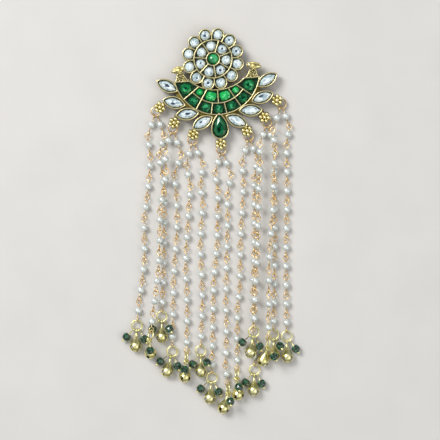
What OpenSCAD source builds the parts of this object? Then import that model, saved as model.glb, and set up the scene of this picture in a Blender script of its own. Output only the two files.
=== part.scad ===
// Hair brooch with pearl strands, lying flat with its front up.
// +X is the viewer's right, +Y runs up the brooch to the rosette, and +Z rises from the table.
// All lengths are millimetres and all angles are degrees.

/* [Head] */
// Turn of the head as the brooch lies
head_turn = 3.5; // [0:0.5:5]
// Height of the setting's underside over the table
setting_z = 2.2; // [2.2:0.1:2.6]
// Thickness of the backing plate
plate_t = 0.8; // [0.6:0.1:1]
// Thickness of the cell walls
wall_t = 0.45; // [0.4:0.05:0.5]

/* [Rosette] */
// Stones in the outer row
outer_n = 12; // [12:1:12]
// Radius of the ring on which the outer stones sit
outer_ring_r = 9.9; // [9.8:0.1:10]
// Outer radius of one lobe of the scalloped rim
lobe_r = 2.62; // [2.6:0.01:2.7]
// Stones in the inner row
inner_n = 7; // [7:1:7]
// Radius of the ring on which the inner stones sit
inner_ring_r = 5.3; // [5.2:0.1:5.4]
// Middle radius of the round wall between the two rows
row_wall_r = 7.6; // [7.5:0.05:7.7]
// Outer radius of the cup round the centre stone
centre_cup_r = 2.85; // [2.8:0.05:2.9]
// Height of the rosette's walls over the plate
rosette_rise = 2.1; // [1.8:0.1:2.4]

/* [Crescent] */
// Radius of the crescent's lower edge
crescent_r = 17.4; // [17.2:0.1:17.6]
// Radius of the crescent's upper edge
hollow_r = 16.3; // [16.2:0.1:16.4]
// Middle radius of the wall between its two rows of stones
mid_wall_r = 12.6; // [12.5:0.1:12.7]
// Angle from straight down to the wall in front of each end stone
end_wall_a = 53; // [52:1:54]
// Height of the crescent's walls over the plate
crescent_rise = 1.9; // [1.6:0.1:2.2]
// Height of the leaf and pear walls over the plate
leaf_rise = 1.7; // [1.4:0.1:2]

/* [Stones] */
// Diameter of a clear round stone
round_stone_d = 3.9; // [3.6:0.05:3.9]
// Diameter of the centre stone
centre_stone_d = 4.4; // [4.2:0.1:4.5]
// Diameter of the two end stones
end_stone_d = 4.5; // [4.2:0.1:4.6]
// Gap under a stone and round it
stone_gap = 0.1; // [0.1:0.05:0.15]
// Height of a stone's crown over the walls
crown_over = 0.15; // [0:0.05:0.4]

/* [Chains] */
// Diameter of a pearl
pearl_d = 3; // [2.9:0.1:3]
// Middle radius of an eye bent from the pin wire
eye_r = 1; // [0.95:0.05:1]
// Wire diameter of the eye pins
pin_wire_d = 0.4; // [0.35:0.05:0.4]
// Distance between the centres of two linked eyes
link_reach = 1.4; // [1.35:0.05:1.45]
// Angle of a strand's first pin from straight down
fan_a = 18.5; // [18:0.5:19]
// Middle radius of the rings under the flowers
hang_ring_r = 1.85; // [1.8:0.05:1.9]
// Wire diameter of those rings
hang_wire_d = 0.5; // [0.4:0.05:0.5]

/* [Drops] */
// Middle radius of the ring that gathers a drop
drop_ring_r = 2.05; // [2:0.05:2.1]
// Wire diameter of that ring
drop_wire_d = 0.6; // [0.5:0.05:0.6]
// Diameter of a bell's body
bell_d = 4.8; // [4.6:0.1:4.9]
// Wall of a bell
bell_wall = 0.4; // [0.35:0.05:0.5]
// Distance from a bell's eye to the centre of its body
bell_len = 6; // [5.8:0.1:6.2]
// Diameter of a green bead
bead_d = 3.4; // [3.2:0.1:3.5]
// Length of a green bead along its pin
bead_h = 2.8; // [2.6:0.1:2.9]
// Distance from a bead pin's eye to the centre of its bead
bead_len = 4; // [3.9:0.1:4.2]

/* [Hair pin] */
// Length of the hair pin
clip_l = 33; // [30:1:34]
// Width of its strip
clip_w = 2.6; // [2:0.1:3]
// Thickness of its strip
clip_t = 0.6; // [0.5:0.1:0.6]

/* [Hidden] */
$fn = 48;

// Where the box of the whole brooch has its middle on the table
box_mid = [-0.2, 0.3];
// Where the head's own origin lies on the table
head_place = [1.7, 65.1];
// Where the rosette's centre lies in the head's frame
rosette_at = [-1.1, 0];
// Centres of the crescent's lower and upper arcs in the head's frame
crescent_at = [0, -5.1];
hollow_at = [0, 4.1];
// Line under the peacock necks, above which the crescent has no cells
neck_y = -8.5;

// Right half of the leaves, from the top: x, y, and the angle at which the outer tip points
leaf_rows = [[20, -9.6, 29], [17.7, -16.4, 17.5], [12.7, -21.3, -2.5], [6.85, -25.1, -27.5]];
// Right half of the flowers, from the top: x, y, and the angle at which the ring hangs
flower_rows = [[23.45, -17.9, -36], [18.1, -24.4, -69], [10.75, -29.4, -75]];
middle_flower = [0, -33.9, -90];

// Half lengths and half widths of a leaf bezel, and the pear's radius, tip and place
leaf_half = [4.8, 2.55];
pear_r = 3.55;
pear_tip = 7;
pear_at = [0, -28.5];

// Angles of the partition walls, from straight down
through_walls = [-end_wall_a, -31.8, 31.8, end_wall_a];
outer_only_walls = [-10.6, 10.6];

// Outer row of the crescent: angle from straight down, one for each stone
row_angles = [-41.4, -20.6, 0, 20.6, 41.4];
row_stone_r = 14.88;
// Inner row: angle from straight down, radius from the crescent's centre, half width, half height
arc_rows = [[-43, 10.55, 1.3, 1.3], [-16, 10.05, 2.15, 1.85], [16, 10.05, 2.15, 1.85], [43, 10.55, 1.3, 1.3]];
end_stone_at = [12.6, -11.2];

// Outline of a peacock's neck on the right side, from its foot round the head end
neck_points = [[16.9, -8.4], [16.2, -7.2], [15.75, -5.4], [15.5, -4], [13.6, -4], [13.2, -5.4],
               [12.1, -7.1], [11, -8.4]];
bird_head_at = [14.8, -3.8];
bird_head_r = 1.5;
beak_len = 2.9;
beak_tip_r = 0.35;
// The crest is a blunt tuft at the back of the head
crest_a = 160;
crest_len = 1.7;
crest_r = 0.95;

// Granules of a flower
granule_r = 0.85;
granule_n = 6;
// Staple under a flower: how far out it sits, its middle radius and its wire
staple_out = 0.35;
staple_r = 0.85;
staple_wire_r = 0.25;

// Height of the chains' wires over the table
link_z = pearl_d / 2;
// How far a pulled ring lies off the middle of the eye that it hangs in
pull = 0.38;
pitched_pull = 0.22;
// How far the two strands of each ring lean to the right, from left to right
leans = [0, 0, 5, 3, 3, 0, 0];
// How far ahead on its route each link aims
look_ahead = 7;
// Height at which a strand runs that lies over another
over_z = 4.6;

// Columns of the table of strands
PEARLS = 0;
STUB = 1;
ROUTE = 2;
// Strands from left to right: number of pearls, pin length between a pearl and its eye, and the
// route on the table as points x, y, z
strand_rows = [
    [10, 0.98, [[-24.4, 38, 1.5], [-25, 16, 1.5], [-26.9, 4, 1.5], [-27, -18, 1.5], [-29.7, -36, 1.5]]],
    [10, 0.8, [[-20.9, 36, 1.5], [-20.9, 28, 1.5], [-19, 14, 1.5], [-19.1, -12, 1.5], [-20, -38, 1.5]]],
    [10, 0.87, [[-17.2, 34, 1.5], [-17.4, 29, 5], [-18.4, 16, over_z], [-20.4, 8, over_z],
                [-20.8, -14, over_z], [-21.9, -26, over_z], [-24, -40, over_z]]],
    [10, 1.17, [[-15, 30, 1.5], [-14.4, 15, 1.5], [-13.7, 0, 1.5], [-15.1, -20, 1.5], [-15.8, -52, 1.5]]],
    [10, 1.02, [[-8, 24, 1.5], [-8.7, 15, 1.5], [-9.1, 5, 1.5], [-10.5, -15, 1.5], [-9.8, -32, 1.5],
                [-10, -56, 1.5]]],
    [10, 0.92, [[-5, 26, 1.5], [-3.6, 8, 1.5], [-4.5, -8, 1.5], [-3.7, -30, 1.5], [-4.3, -50, 1.5]]],
    [12, 0.5, [[2.4, 20, 1.5], [2.6, 8, 1.5], [2.2, -10, 1.5], [0.9, -22, 1.5], [0.1, -60, 1.5]]],
    [11, 1.06, [[6.7, 20, 1.5], [6.4, 0, 1.5], [5.7, -30, 1.5], [6, -46, 1.5], [5.4, -54, 1.5],
                [6.4, -64, 1.5]]],
    [11, 1.02, [[12.9, 26, 1.5], [12.5, 10, 1.5], [11.4, -12, 1.5], [11.6, -22, 1.5], [10.4, -34, 1.5],
                [10.2, -58, 1.5]]],
    [12, 0.6, [[17.2, 26, 1.5], [17.2, -8, 1.5], [16.6, -30, 1.5], [16.8, -50, 1.5], [17.3, -60, 1.5]]],
    [11, 0.5, [[20.4, 35, 1.5], [20, 30, over_z], [19, 18, over_z], [18.4, -10, over_z],
               [17.6, -24, over_z], [16.9, -44, over_z]]],
    [11, 0.54, [[24.9, 30, 1.5], [25.4, 12, 1.5], [25.3, -6, 1.5], [25.2, -24, 1.5], [24.8, -44, 1.5]]],
    [10, 1.49, [[25.8, 42, 1.5], [25.4, 36, over_z], [24.5, 6, over_z], [23, -14, over_z],
                [22.7, -42, over_z]]],
    [12, 0.58, [[30, 34, 1.5], [30.3, 10, 1.5], [29.8, -14, 1.5], [30.1, -46, 1.5]]]
];

// Columns of the table of drops
PITCH = 0;
ROLL = 1;
BELL = 2;
BEADS = 3;
// Drops from left to right: how far their ring climbs along the strand and rolls about it, the point
// at which the bell aims, and the points at which the beads aim
drop_rows = [
    [0, 0, [-30.4, -49.9, 2.5], [[-34, -46, 1.8], [-26.8, -47, 1.8]]],
    [0, 0, [-19.9, -46.5, 2.5], [[-23.8, -43, 1.8], [-16.4, -43.4, 3.7]]],
    [25, 60, [-24.4, -53.4, 2.15], [[-24.4, -50.6, 6.8]]],
    [0, 0, [-17.9, -60.4, 2.6], [[-20.9, -56.3, 1.8], [-13.5, -58.1, 1.8]]],
    [25, 75, [-10.7, -62, 2.5], [[-10.9, -59.6, 6.4]]],
    [0, 0, [-4.2, -60.3, 2.5], [[-7.5, -56.8, 1.8], [-1.6, -56.4, 4.6]]],
    [0, 0, [-0.7, -70.5, 2.5], [[-4.3, -66.8, 1.8], [2.8, -67.9, 1.8]]],
    [25, 75, [4.6, -75, 2.5], [[7.5, -71.3, 6]]],
    [25, 75, [10.6, -69, 2.5], [[10.9, -65.8, 6.4]]],
    [0, 0, [16.8, -67.9, 2.5], [[20.3, -65, 1.8], [13.5, -64.4, 1.8]]],
    [0, 0, [15.6, -52, 5.1], [[12.2, -48.2, 4.2], [19.2, -49.4, 5.1]]],
    [0, 0, [25.1, -53.3, 2.5], [[27.6, -49.8, 4.6]]],
    [25, 75, [20.4, -56.2, 2.15], [[25.2, -54, 6.9]]],
    [0, 0, [30.4, -54.2, 2.5], [[33.9, -51, 1.8]]]
];

stone_names = concat(["centre_stone", "inner_stones", "outer_stones", "end_stone_left", "end_stone_right"],
                     [for (k = [1:5]) str("row_stone_", k)], [for (k = [1:4]) str("arc_stone_", k)],
                     [for (k = [1:8]) str("leaf_stone_", k)], ["pear_stone"]);
ring_n = 7;
strand_n = len(strand_rows);

// A node's name with its number as two digits
function numbered(name, k) = str(name, k < 10 ? "_0" : "_", k);

// The vector at length one
function unit(v) = v / norm(v);

// A point of the head's frame, as it lies on the table
function head_point(p) = head_place
    + [p.x * cos(head_turn) - p.y * sin(head_turn), p.x * sin(head_turn) + p.y * cos(head_turn)];

// A row of the right half seen in the left half
function mirrored(row) = [-row.x, row.y, 180 - row.z];

// Flowers from left to right
function flowers() = concat([for (row = flower_rows) mirrored(row)], [middle_flower],
                            [for (k = [len(flower_rows) - 1:-1:0]) flower_rows[k]]);

// Leaves from the top left, down, and up again to the top right
function leaves() = concat([for (row = leaf_rows) mirrored(row)],
                           [for (k = [len(leaf_rows) - 1:-1:0]) leaf_rows[k]]);

// Centre of the ring under flower k, counted from zero
function ring_centre(k) = let (f = flowers()[k])
    head_point([f.x, f.y] + (staple_out + hang_ring_r) * [cos(f.z), sin(f.z)]);

// Point of a route at a given y
function route_point(route, y) = [lookup(y, [for (p = route) [p.y, p.x]]), y,
                                  lookup(y, [for (p = route) [p.y, p.z]])];

// Direction from a point to the route a little further down
function aim(p, route) = unit(route_point(route, p.y - look_ahead) - p);

// Half the distance between the two eyes of a pin
function pin_half(stub) = pearl_d / 2 + stub + eye_r;

// Heading of one direction with the slope of another
function blend(heading, slope) =
    unit([heading.x, heading.y, slope.z / norm([slope.x, slope.y]) * norm([heading.x, heading.y])]);

// Pins of a chain, each as its upper eye and its direction. A link turns in the flat eye that comes
// next and climbs in the upright eye before it.
function chain(eye, dir, n, half, route) = n == 0 ? [] :
    let (low = eye + 2 * half * dir,
         next = low + link_reach * blend(dir, aim(low, route)))
    concat([[eye, dir]], chain(next, aim(next, route), n - 1, half, route));

// Pins of strand k, counted from zero: two strands hang in each ring, one to each side
function strand_pins(k) =
    let (row = strand_rows[k],
         side = k % 2 == 0 ? -1 : 1,
         a = side * fan_a + leans[floor(k / 2)],
         out = [sin(a), -cos(a), 0],
         c = ring_centre(floor(k / 2)),
         eye = [c.x, c.y, link_z] + (hang_ring_r + pull) * out)
    chain(eye, blend(out, aim(eye, row[ROUTE])), row[PEARLS], pin_half(row[STUB]), row[ROUTE]);

// Lower eye of the last pin of strand k
function strand_end(k) =
    let (pins = strand_pins(k), last = pins[len(pins) - 1])
    last[0] + 2 * pin_half(strand_rows[k][STUB]) * last[1];

// Axes of a piece that runs along x and is rolled about it: across, and up
function across(x, roll) = let (y = unit(cross([0, 0, 1], x)), z = cross(x, y)) cos(roll) * y + sin(roll) * z;

// Direction of the last pin of strand k, pitched up by the drop's own angle
function drop_dir(k) =
    let (pins = strand_pins(k), d = pins[len(pins) - 1][1], flat = unit([d.x, d.y, 0]),
         p = drop_rows[k][PITCH])
    p == 0 ? d : cos(p) * flat + sin(p) * [0, 0, 1];

// Centre of the ring of drop k
function drop_centre(k) = strand_end(k)
    + (drop_ring_r + (drop_rows[k][PITCH] == 0 ? pull : pitched_pull)) * drop_dir(k);

// Puts the children at p with their x and y axes along the given unit vectors
module seat(p, x, y) {
    z = cross(x, y);
    multmatrix([[x.x, y.x, z.x, p.x], [x.y, y.y, z.y, p.y], [x.z, y.z, z.z, p.z], [0, 0, 0, 1]]) children();
}

// Puts the children in the frame of the whole brooch
module on_table() translate([-box_mid.x, -box_mid.y, 0]) children();

// Puts the children of the head's frame on the table
module in_head() on_table() translate([head_place.x, head_place.y, 0]) rotate(head_turn) children();

module both_sides() {
    children();
    mirror([1, 0, 0]) children();
}

// A wire ring that lies flat
module torus(r, wire_r) rotate_extrude($fn = 28) translate([r, 0]) circle(wire_r, $fn = 14);

// A wire eye that stands in the plane of x and z
module upright_eye(r, wire_r) rotate([90, 0, 0]) torus(r, wire_r);

// Pointed oval where two equal circles overlap, drawn in by inset
module leaf_shape(inset = 0) {
    r = (leaf_half.x ^ 2 + leaf_half.y ^ 2) / (2 * leaf_half.y);
    off = r - leaf_half.y;
    intersection() {
        translate([0, off]) circle(r - inset, $fn = 96);
        translate([0, -off]) circle(r - inset, $fn = 96);
    }
}

// Pear with its tip up: a circle under a pointed arch, drawn in by inset
module pear_shape(inset = 0) {
    r = (pear_tip ^ 2 + pear_r ^ 2) / (2 * pear_r);
    off = r - pear_r;
    circle(pear_r - inset);
    intersection() {
        translate([off, 0]) circle(r - inset, $fn = 96);
        translate([-off, 0]) circle(r - inset, $fn = 96);
        translate([-pear_r, 0]) square([2 * pear_r, pear_tip]);
    }
}

// Scalloped outline of the rosette, drawn in by inset
module rosette_shape(inset = 0) {
    step = 360 / outer_n;
    for (k = [0:outer_n - 1]) rotate(step * (k + 0.5)) translate([outer_ring_r, 0]) circle(lobe_r - inset);
    circle(outer_ring_r - inset);
}

// Straight wall from radius r0 to r1 at angle a
module spoke(a, r0, r1) rotate(a) translate([r0, -wall_t / 2]) square([r1 - r0, wall_t]);

module round_wall(r) difference() {
    circle(r + wall_t / 2);
    circle(r - wall_t / 2);
}

module rosette_walls() difference() {
    rosette_shape();
    difference() {
        rosette_shape(wall_t);
        circle(centre_cup_r);
        round_wall(row_wall_r);
        for (k = [0:outer_n - 1]) spoke(360 / outer_n * k, row_wall_r, outer_ring_r + 0.3);
        for (k = [0:inner_n - 1]) spoke(inner_angle(k + 0.5), centre_cup_r - 0.1, row_wall_r);
    }
    circle(centre_cup_r - wall_t);
}

// Angle of inner stone k
function inner_angle(k) = 95 + 360 / inner_n * k;

module crescent_shape(inset = 0) difference() {
    translate(crescent_at) circle(crescent_r - inset, $fn = 128);
    translate(hollow_at) circle(hollow_r + inset, $fn = 128);
    translate([-crescent_r, neck_y + wall_t - inset]) square([2 * crescent_r, 2 * crescent_r]);
}

// Sector of the crescent between its two end walls
module between_ends() translate(crescent_at)
    polygon([[0, 0], for (a = [-end_wall_a, 0, end_wall_a]) 2 * crescent_r * [sin(a), -cos(a)]]);

module crescent_walls() difference() {
    crescent_shape();
    difference() {
        crescent_shape(wall_t);
        translate(crescent_at) {
            for (a = through_walls) spoke(a - 90, 6, crescent_r - wall_t / 2);
            for (a = outer_only_walls) spoke(a - 90, mid_wall_r, crescent_r - wall_t / 2);
            spoke(-90, 6, mid_wall_r);
        }
        intersection() {
            translate(crescent_at) round_wall(mid_wall_r);
            between_ends();
        }
    }
}

// Narrow ledge behind the crescent's lower edge, to which the leaves are soldered
module ledge_shape() intersection() {
    translate(crescent_at) circle(crescent_r + 1.2, $fn = 128);
    translate([-crescent_r, -4 * crescent_r + neck_y - 2.5]) square([2 * crescent_r, 4 * crescent_r]);
}

// The leaves and the pear, drawn in by inset
module leaf_shapes(inset = 0) {
    for (row = leaves()) translate([row.x, row.y]) rotate(row.z) leaf_shape(inset);
    translate(pear_at) pear_shape(inset);
}

module raised(h) translate([0, 0, setting_z]) linear_extrude(h) children();

// Neck, head, beak and crest of the right peacock
module peacock() {
    top = plate_t + crescent_rise;
    raised(top) polygon(neck_points);
    translate([bird_head_at.x, bird_head_at.y, setting_z + top - bird_head_r * 0.8]) {
        rotate(90) sphere(bird_head_r);
        rotate([0, 90, -4]) {
            cylinder(h = beak_len, r1 = bird_head_r * 0.8, r2 = beak_tip_r);
            translate([0, 0, beak_len]) sphere(beak_tip_r);
        }
        rotate([0, 90, crest_a]) {
            cylinder(h = crest_len, r = crest_r * 0.9);
            translate([0, 0, crest_len]) sphere(crest_r);
        }
    }
}

// Seven granules on a disc, with a strip behind that reaches under the leaf at angle a
module flower(a) {
    raised(plate_t) {
        circle(granule_r * 2.2);
        rotate(a) translate([0, -0.8]) square([3.3, 1.6]);
    }
    rotate(a) translate([0, 0, setting_z + plate_t + granule_r * 0.3]) {
        for (k = [0:granule_n - 1]) rotate(360 / granule_n * k)
            translate([granule_r * 1.9, 0, 0]) sphere(granule_r, $fn = 24);
        translate([0, 0, granule_r * 0.4]) sphere(granule_r, $fn = 24);
    }
}

// All the soldered metal of the head
module setting() color("#b59a4a") in_head() {
    floor_in = wall_t / 2;
    bird_clear = 8;
    translate([0, 0, 0.05]) raised(plate_t - 0.05) {
        crescent_shape(floor_in);
        difference() {
            ledge_shape();
            translate(hollow_at) circle(hollow_r + floor_in, $fn = 128);
        }
        leaf_shapes(floor_in);
        translate(rosette_at) rosette_shape(floor_in);
    }
    raised(plate_t + rosette_rise) translate(rosette_at) rosette_walls();
    raised(plate_t + crescent_rise) crescent_walls();
    raised(plate_t + leaf_rise) difference() {
        leaf_shapes();
        leaf_shapes(wall_t);
        translate(crescent_at) circle(crescent_r - wall_t, $fn = 128);
    }
    difference() {
        both_sides() peacock();
        raised(bird_clear) translate(rosette_at) rosette_shape(floor_in);
    }
    for (f = flowers()) translate([f.x, f.y, 0]) {
        flower(f.z + 180);
        rotate(f.z) translate([staple_out, 0, link_z]) upright_eye(staple_r, staple_wire_r);
    }
}

// Folded strip of spring steel, closed at its right end
module hair_pin() color("#8f8f8a") in_head() {
    gap = setting_z - stone_gap - 2 * clip_t;
    bend_r = gap / 2 + clip_t;
    translate([-clip_l / 2, -15.5 + clip_w / 2, 0]) rotate([90, 0, 0]) linear_extrude(clip_w) {
        square([clip_l - bend_r, clip_t]);
        translate([0, gap + clip_t]) square([clip_l - bend_r, clip_t]);
        translate([clip_l - bend_r, bend_r]) difference() {
            circle(bend_r);
            circle(gap / 2);
            translate([-2 * bend_r, -bend_r]) square([2 * bend_r, 2 * bend_r]);
        }
    }
}

// Points of a round, an oval, a leaf and a pear outline
function oval_points(a, b, n) =
    [for (k = [0:n - 1]) [a * cos(360 * (k + 0.5) / n), b * sin(360 * (k + 0.5) / n)]];
function leaf_points(inset, n) =
    let (r = (leaf_half.x ^ 2 + leaf_half.y ^ 2) / (2 * leaf_half.y), off = r - leaf_half.y,
         half = acos(off / (r - inset)))
    [for (side = [0, 180], k = [0:n / 2 - 1])
        let (a = side + 90 - half + 2 * half * k / (n / 2), s = side == 0 ? 1 : -1)
        [(r - inset) * cos(a), (r - inset) * sin(a) - s * off]];
function pear_points(inset, n) =
    let (r = (pear_tip ^ 2 + pear_r ^ 2) / (2 * pear_r), off = r - pear_r, top = acos(off / (r - inset)))
    concat([for (k = [0:n / 2 - 1]) let (a = 180 + 180 * k / (n / 2)) (pear_r - inset) * [cos(a), sin(a)]],
           [for (k = [0:n / 4 - 1]) let (a = top * k / (n / 4))
               [(r - inset) * cos(a) - off, (r - inset) * sin(a)]],
           [for (k = [0:n / 4 - 1]) let (a = 180 - top + top * k / (n / 4))
               [(r - inset) * cos(a) + off, (r - inset) * sin(a)]]);

// Flat-backed cut stone over an outline: a girdle, two rows of crown facets and a table
module cut_stone(outline, rise) {
    levels = [[0.86, 0], [1, 0.35 * rise], [1, 0.5 * rise], [0.86, 0.82 * rise], [0.58, rise]];
    n = len(outline);
    points = [for (level = levels, p = outline) [p.x * level[0], p.y * level[0], level[1]]];
    sides = [for (row = [0:len(levels) - 2], k = [0:n - 1])
        [row * n + k, (row + 1) * n + k, (row + 1) * n + (k + 1) % n, row * n + (k + 1) % n]];
    back = [for (k = [0:n - 1]) k];
    table = [for (k = [n - 1:-1:0]) (len(levels) - 1) * n + k];
    translate([0, 0, setting_z + plate_t + stone_gap]) polyhedron(points, concat(sides, [back], [table]));
}

function rise_in(walls) = walls - stone_gap + crown_over;

module round_stone(d, walls) cut_stone(oval_points(d / 2, d / 2, 10), rise_in(walls));

module centre_stone() color("#1f9a5a") in_head() translate(rosette_at)
    round_stone(centre_stone_d, rosette_rise);

module inner_stones() color("#dfe7e6") in_head() translate(rosette_at)
    for (k = [0:inner_n - 1]) rotate(inner_angle(k)) translate([inner_ring_r, 0, 0])
        round_stone(round_stone_d - 0.1, rosette_rise);

module outer_stones() color("#dfe7e6") in_head() translate(rosette_at)
    for (k = [0:outer_n - 1]) rotate(360 / outer_n * (k + 0.5)) translate([outer_ring_r + 0.03, 0, 0])
        round_stone(round_stone_d, rosette_rise);

// Side is 1 for the right and -1 for the left
module end_stone(side) color("#0f7a45") in_head() translate([side * end_stone_at.x, end_stone_at.y, 0])
    round_stone(end_stone_d, crescent_rise);

module row_stone(k) color("#0c5a36") in_head() translate(crescent_at)
    rotate(row_angles[k - 1] - 90) translate([row_stone_r, 0, 0]) round_stone(round_stone_d, crescent_rise);

module arc_stone(k) color("#23b868") in_head() translate(crescent_at) {
    row = arc_rows[k - 1];
    rotate(row[0] - 90) translate([row[1], 0, 0])
        cut_stone(oval_points(row[3], row[2], 10), rise_in(crescent_rise));
}

module leaf_stone(k) color("#dfe7e6") in_head() {
    row = leaves()[k - 1];
    translate([row.x, row.y, 0]) rotate(row.z) cut_stone(leaf_points(wall_t + 0.38, 12), rise_in(leaf_rise));
}

module pear_stone() color("#0f6a40") in_head() translate(pear_at)
    cut_stone(pear_points(wall_t + 0.5, 16), rise_in(leaf_rise));

module hang_ring(k) color("#c9965a") on_table() {
    c = ring_centre(k - 1);
    translate([c.x, c.y, link_z]) torus(hang_ring_r, hang_wire_d / 2);
}

// One pearl on its pin, from its upper eye at the origin along x
module pearl_pin(stub, top_roll, end_roll) {
    half = pin_half(stub);
    rotate([top_roll, 0, 0]) torus(eye_r, pin_wire_d / 2);
    translate([eye_r, 0, 0]) rotate([0, 90, 0]) cylinder(h = 2 * (half - eye_r), d = pin_wire_d, $fn = 14);
    translate([half, 0, 0]) rotate(90) sphere(d = pearl_d, $fn = 28);
    translate([2 * half, 0, 0]) rotate([end_roll, 0, 0]) torus(eye_r, pin_wire_d / 2);
}

// Roll of pin j of strand k, so that its eyes are seen at a slant. It grows over the first pins.
function pin_roll(k, j) = min(1, j / 3) * (24 + 12 * sin(97 * j + 53 * k));

module strand(k) color("#efe9da") on_table() {
    pins = strand_pins(k - 1);
    last = len(pins) - 1;
    for (j = [0:last]) {
        top_roll = j == 0 ? 90 : pin_roll(k, j);
        end_roll = 90 + (j == last ? drop_rows[k - 1][ROLL] : pin_roll(k, j));
        seat(pins[j][0], pins[j][1], across(pins[j][1], 0))
            pearl_pin(strand_rows[k - 1][STUB], top_roll, end_roll);
    }
}

// Slit bell that hangs from its eye at the origin along x
module bell() {
    eye = 0.85;
    wire = 0.25;
    r = bell_d / 2;
    slot_w = 0.45;
    hole_r = 0.7;
    foot = bell_len - eye;
    upright_eye(eye, wire);
    translate([bell_len, 0, 0]) rotate([45, 0, 0]) rotate([0, 90, 0]) difference() {
        union() {
            sphere(r);
            rotate_extrude() polygon([[0, -foot], [0.36, -foot], [0.45, -foot * 0.8], [0.75, -foot * 0.64],
                                      [1.3, -foot * 0.48], [0.79 * r, -0.6 * r], [0, -0.6 * r]]);
        }
        sphere(r - bell_wall);
        for (a = [0, 90]) rotate(a) {
            translate([-slot_w / 2, -r, 0.5]) cube([slot_w, 2 * r, r]);
            translate([0, 0, 0.5]) rotate([90, 0, 0]) cylinder(h = 2.2 * r, r = hole_r, center = true);
        }
    }
}

// Faceted bead on a pin with a ball end, from its eye at the origin along x
module bead_pin() {
    eye = 0.8;
    wire = 0.2;
    ball = 0.6;
    upright_eye(eye, wire);
    translate([eye, 0, 0]) rotate([0, 90, 0]) cylinder(h = bead_len + bead_h / 2 - eye, r = wire);
    translate([bead_len, 0, 0]) rotate([0, 90, 0]) rotate_extrude($fn = 10)
        polygon([[0, -bead_h / 2], [bead_d * 0.27, -bead_h / 2], [bead_d / 2, -bead_h * 0.16],
                 [bead_d / 2, bead_h * 0.16], [bead_d * 0.27, bead_h / 2], [0, bead_h / 2]]);
    translate([bead_len + bead_h / 2 + ball * 0.7, 0, 0]) sphere(ball);
}

// Hangs the children in the ring of drop k so that they point at target
module hung(k, target) {
    c = drop_centre(k - 1);
    x = drop_dir(k - 1);
    y = across(x, drop_rows[k - 1][ROLL]);
    to = target - c;
    out = unit((to * x) * x + (to * y) * y);
    eye = c + (drop_ring_r + 0.12) * out;
    seat(eye, unit(target - eye), cross(cross(x, y), out)) children();
}

module drop(k) color("#c8ab4b") on_table() {
    row = drop_rows[k - 1];
    x = drop_dir(k - 1);
    seat(drop_centre(k - 1), x, across(x, row[ROLL])) torus(drop_ring_r, drop_wire_d / 2);
    hung(k, row[BELL]) bell();
    for (target = row[BEADS]) hung(k, target) bead_pin();
}

setting();
hair_pin();
centre_stone();
inner_stones();
outer_stones();
end_stone(-1);  // end_stone_left
end_stone(1);  // end_stone_right
for (k = [1:5]) row_stone(k);
for (k = [1:4]) arc_stone(k);
for (k = [1:8]) leaf_stone(k);
pear_stone();
for (k = [1:ring_n]) hang_ring(k);
for (k = [1:strand_n]) strand(k);
for (k = [1:strand_n]) drop(k);
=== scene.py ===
import math

import bmesh
import bpy
import numpy as np
from mathutils import Matrix, Vector


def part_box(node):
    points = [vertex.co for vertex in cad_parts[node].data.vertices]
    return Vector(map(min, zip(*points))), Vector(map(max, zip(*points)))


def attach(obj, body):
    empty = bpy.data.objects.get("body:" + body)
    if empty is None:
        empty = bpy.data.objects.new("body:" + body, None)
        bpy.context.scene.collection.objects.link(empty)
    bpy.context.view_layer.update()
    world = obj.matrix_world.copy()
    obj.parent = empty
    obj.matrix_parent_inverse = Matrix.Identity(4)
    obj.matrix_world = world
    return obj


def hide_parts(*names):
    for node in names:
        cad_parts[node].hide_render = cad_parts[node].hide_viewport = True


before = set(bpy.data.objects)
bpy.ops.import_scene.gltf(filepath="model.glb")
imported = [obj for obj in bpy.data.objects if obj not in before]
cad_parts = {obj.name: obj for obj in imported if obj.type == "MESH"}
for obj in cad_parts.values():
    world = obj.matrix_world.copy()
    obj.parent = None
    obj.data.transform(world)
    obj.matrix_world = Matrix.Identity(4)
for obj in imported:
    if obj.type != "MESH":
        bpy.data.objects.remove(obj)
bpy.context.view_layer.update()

# The setting.
# The head is gilt brass: a backing plate with walls, bezels, peacock necks and granule flowers
# soldered on. It has been antiqued, so it is olive brown in its hollows and pale on its edges.
MM = 0.001


def linear(hex_colour):
    """An sRGB hex value as a linear colour."""
    channels = [int(hex_colour[k:k + 2], 16) / 255 for k in (1, 3, 5)]
    return (*[c / 12.92 if c <= 0.04045 else ((c + 0.055) / 1.055) ** 2.4 for c in channels], 1)


def grain(size):
    """The scale of a pattern whose features are so many millimetres across."""
    return 1 / (size * MM)


def add(tree, kind, links=None, settings=None, stops=None):
    """Adds a node. Links are its inputs by name or number, each a socket or a value, and stops are
    a ramp's places and colours, in rising order."""
    made = tree.nodes.new(kind)
    for name, value in (settings or {}).items():
        setattr(made, name, value)
    for name, value in (links or {}).items():
        if isinstance(value, bpy.types.NodeSocket):
            tree.links.new(value, made.inputs[name])
        else:
            made.inputs[name].default_value = value
    for k, (place, colour) in enumerate(stops or []):
        stop = made.color_ramp.elements[k] if k < 2 else made.color_ramp.elements.new(place)
        stop.position = place
        stop.color = linear(colour)
    return made


def material(name, **values):
    """A material with its shader's own values, and what its nodes build on."""
    made = bpy.data.materials.new(name)
    made.use_nodes = True
    tree = made.node_tree
    shader = tree.nodes["Principled BSDF"]
    for key, value in values.items():
        socket = "IOR" if key == "ior" else key.replace("_", " ").title()
        shader.inputs[socket].default_value = value
    return made, tree, shader, add(tree, "ShaderNodeTexCoord").outputs["Object"]


def dress(name, finish):
    """Gives a CAD node its finish."""
    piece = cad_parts[name]
    piece.data.materials.clear()
    piece.data.materials.append(finish)


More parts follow.
